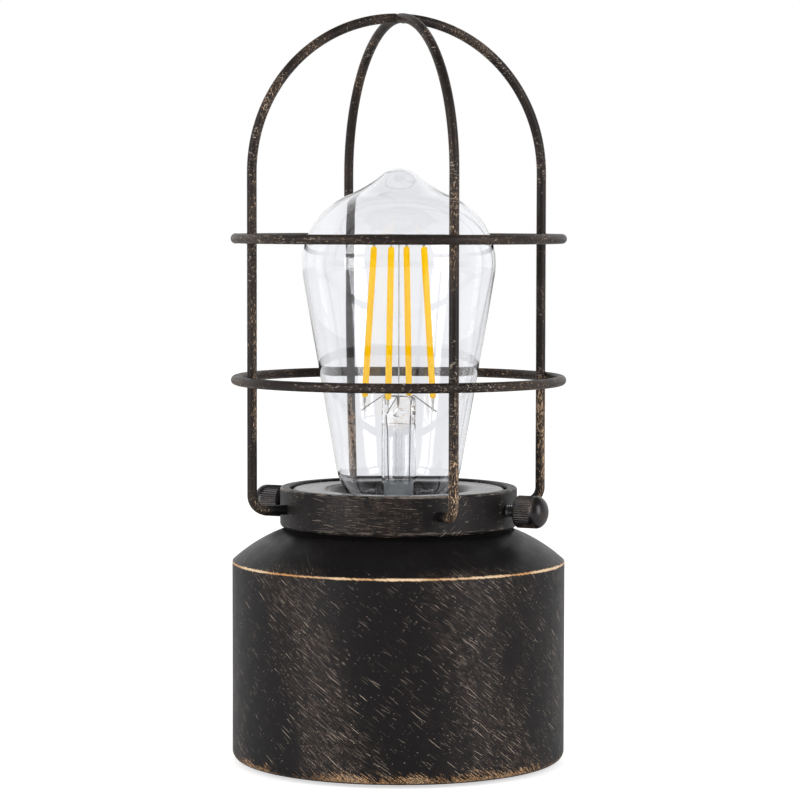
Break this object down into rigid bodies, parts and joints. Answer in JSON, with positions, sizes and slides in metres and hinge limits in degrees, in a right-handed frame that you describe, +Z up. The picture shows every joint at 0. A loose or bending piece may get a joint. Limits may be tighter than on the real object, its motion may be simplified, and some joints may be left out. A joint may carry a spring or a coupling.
{
  "type": "touch lamp",
  "caption": "Touch lamp with a painted metal drum base, a clear filament bulb in a domed wire cage, and thumb screws that clamp the cage's collar.",
  "frame": {"origin": "centre of the lamp on the surface that it stands on", "axes": "+Z up along the lamp's axis; the thumb screws lie along X; the cord entry faces +Y, the rear"},
  "size_m": [0.1106, 0.1123, 0.2469],
  "materials": {
    "bronze_paint": "aged bronze-black paint, brushed with tan-gold and worn along the edges",
    "bright_steel": "plain turned steel",
    "zinc_steel": "zinc-plated sheet and turned steel",
    "black_rubber": "matte",
    "black_nylon": "moulded, matte",
    "holder_ceramic": "glazed white",
    "holder_phenolic": "moulded black-brown",
    "brass": "bright pressed brass",
    "case_plastic": "moulded light grey",
    "board_green": "solder-mask green",
    "component_black": "moulded",
    "lead_black": "extruded insulation",
    "lead_white": "extruded insulation",
    "lead_yellow": "extruded insulation",
    "clear_glass": "clear, polished",
    "filament_yellow": "phosphor-coated, unlit",
    "support_wire": "drawn wire",
    "cap_nickel": "nickel-plated, rolled thread",
    "cap_black_glass": "fused black insulator",
    "solder_tip": "solder, dull"
  },
  "bodies": {
    "base": {"base_shell": "bronze_paint", "plate_lugs": "zinc_steel", "bottom_plate": "zinc_steel", "bottom_screws": "zinc_steel", "rubber_feet": "black_rubber", "lamp_pipe": "zinc_steel", "pipe_nuts": "zinc_steel", "pipe_washers": "zinc_steel", "cord_gland": "black_nylon", "gland_nut": "black_nylon", "top_plate": "bronze_paint", "lampholder_body": "holder_ceramic", "lampholder_housing": "holder_phenolic", "screw_shell": "brass", "centre_contact": "brass", "terminal_screws": "brass", "dimmer_case": "case_plastic", "dimmer_lid": "case_plastic", "dimmer_board": "board_green", "dimmer_components": "component_black", "live_lead": "lead_black", "neutral_lead": "lead_white", "touch_lead": "lead_yellow", "touch_terminal": "brass"},
    "cage": {"collar_ring": "bronze_paint", "cage_hoop": "bronze_paint", "cage_half_hoop_right": "bronze_paint", "cage_half_hoop_left": "bronze_paint", "cage_upper_ring": "bronze_paint", "cage_lower_ring": "bronze_paint"},
    "stud_right": {"thumb_stud_right": "bright_steel"},
    "knob_right": {"thumb_knob_right": "bronze_paint"},
    "stud_left": {"thumb_stud_left": "bright_steel"},
    "knob_left": {"thumb_knob_left": "bronze_paint"},
    "bulb_tip": {"bulb_tip_contact": "solder_tip"},
    "bulb": {"bulb_glass": "clear_glass", "bulb_stem": "clear_glass", "bulb_filaments": "filament_yellow", "bulb_supports": "support_wire", "bulb_cap_shell": "cap_nickel", "bulb_cap_insulator": "cap_black_glass", "bulb_driver": "board_green"}
  },
  "joints": [
    {"name": "cage_lift", "type": "slide", "parent": "base", "child": "cage", "axis": [0, 0, 1], "range_m": [0, 0.125]},
    {"name": "stud_right_travel", "type": "slide", "parent": "cage", "child": "stud_right", "axis": [1, 0, 0], "range_m": [0, 0.0035]},
    {"name": "knob_right_turn", "type": "hinge", "parent": "stud_right", "child": "knob_right", "pos_m": [0.0479, 0, 0.0846], "axis": [1, 0, 0], "range_deg": [0, 1800]},
    {"name": "stud_left_travel", "type": "slide", "parent": "cage", "child": "stud_left", "axis": [-1, 0, 0], "range_m": [0, 0.0035]},
    {"name": "knob_left_turn", "type": "hinge", "parent": "stud_left", "child": "knob_left", "pos_m": [-0.0479, 0, 0.0846], "axis": [-1, 0, 0], "range_deg": [0, 1800]},
    {"name": "bulb_rise", "type": "slide", "parent": "base", "child": "bulb_tip", "axis": [0, 0, 1], "range_m": [0, 0.0109]},
    {"name": "bulb_turn", "type": "hinge", "parent": "bulb_tip", "child": "bulb", "pos_m": [0, 0, 0.0563], "axis": [0, 0, 1], "range_deg": [0, 1080]}
  ],
  "couplings": [
    {"joint": "knob_right_turn", "follows": "stud_right_travel", "rad_per_m": 8976},
    {"joint": "knob_left_turn", "follows": "stud_left_travel", "rad_per_m": 8976},
    {"joint": "bulb_rise", "follows": "bulb_turn", "m_per_rad": 0.00057773}
  ]
}
